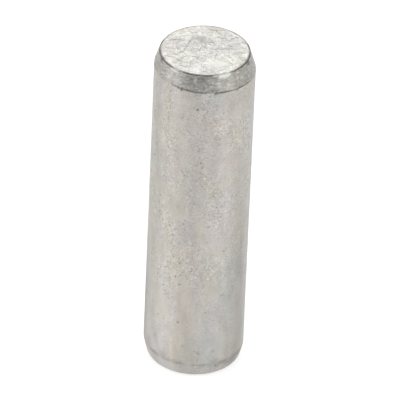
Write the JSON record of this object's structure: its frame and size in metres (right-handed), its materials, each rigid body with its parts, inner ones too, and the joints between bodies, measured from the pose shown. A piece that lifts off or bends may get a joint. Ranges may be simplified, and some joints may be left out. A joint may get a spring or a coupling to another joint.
{
  "type": "dowel pin",
  "caption": "Plain cylindrical steel pin with a conical lead-in chamfer at each end, zinc plated, for pressing into a drilled hole to locate or lock parts.",
  "frame": {"origin": "centre of the foot's end face, the face the pin stands on", "axes": "+Z along the pin from the foot to the top end; +X towards the side where the top chamfer is longest"},
  "size_m": [0.01, 0.01, 0.036],
  "materials": {
    "zinc_plate": "satin zinc plate with a faint mottled film over tumbled steel; the top end face is cropped and rough"
  },
  "bodies": {
    "root": {"pin": "zinc_plate"}
  },
  "joints": []
}
